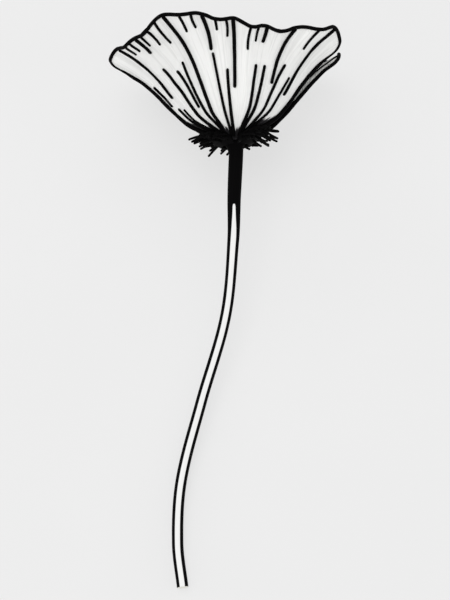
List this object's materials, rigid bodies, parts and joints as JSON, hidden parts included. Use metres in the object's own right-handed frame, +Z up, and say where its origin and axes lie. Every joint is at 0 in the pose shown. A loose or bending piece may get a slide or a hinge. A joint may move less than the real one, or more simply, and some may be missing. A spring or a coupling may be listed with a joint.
{
  "type": "poppy flower",
  "caption": "Cut poppy flower lying down: crumpled layered petals round a rayed capsule and stamens, bristly sepals, long curved stem.",
  "frame": {"origin": "on the surface that the flower lies on, under the middle of its bounding box", "axes": "+Y from the cut end of the stem to the bloom, the flower's longest extent; +Z up from the surface; +X to the right seen from above with the bloom at the top"},
  "size_m": [0.1007, 0.2408, 0.0806],
  "materials": {
    "petal_tissue": "matte, thin and crumpled, white with black veins and margin",
    "sepal_skin": "matte black, bristly",
    "stem_skin": "satin, pale with dark ribs and a black neck",
    "stamen_tissue": "matte black",
    "capsule_skin": "waxy, pale with dark rays"
  },
  "bodies": {
    "root": {"stem": "stem_skin", "petal_top": "petal_tissue", "petal_bottom": "petal_tissue", "petal_left": "petal_tissue", "petal_right": "petal_tissue", "sepal_left": "sepal_skin", "sepal_right": "sepal_skin", "stamens": "stamen_tissue", "capsule": "capsule_skin"}
  },
  "joints": []
}
